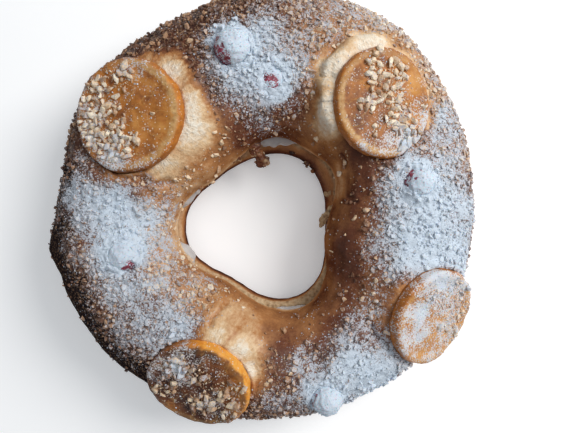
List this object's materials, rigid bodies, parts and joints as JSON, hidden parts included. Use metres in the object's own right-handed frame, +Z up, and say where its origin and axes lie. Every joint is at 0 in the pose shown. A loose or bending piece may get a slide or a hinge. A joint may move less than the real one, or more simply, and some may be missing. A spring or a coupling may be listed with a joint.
{
  "type": "filled roscon de reyes",
  "caption": "Ring-shaped sweet brioche, split level and filled with cream, topped with candied orange slices and candied cherries.",
  "frame": {"origin": "bottom centre of the whole's bounding box, on the surface that the ring rests on", "axes": "+Z up out of the ring's top, +X to the right and +Y away as the ring is seen from above with the slice that leans furthest to the lower right"},
  "size_m": [0.2726, 0.2734, 0.0849],
  "materials": {
    "crust": "baked, satin",
    "cream": "soft satin",
    "candied_orange": "sticky gloss",
    "candied_cherry": "sticky gloss"
  },
  "bodies": {
    "root": {"bread_base": "crust", "cream_layer": "cream", "bread_top": "crust", "orange_slice_1": "candied_orange", "orange_slice_2": "candied_orange", "orange_slice_3": "candied_orange", "orange_slice_4": "candied_orange", "cherry_1": "candied_cherry", "cherry_2": "candied_cherry", "cherry_3": "candied_cherry", "cherry_4": "candied_cherry", "cherry_5": "candied_cherry"}
  },
  "joints": []
}
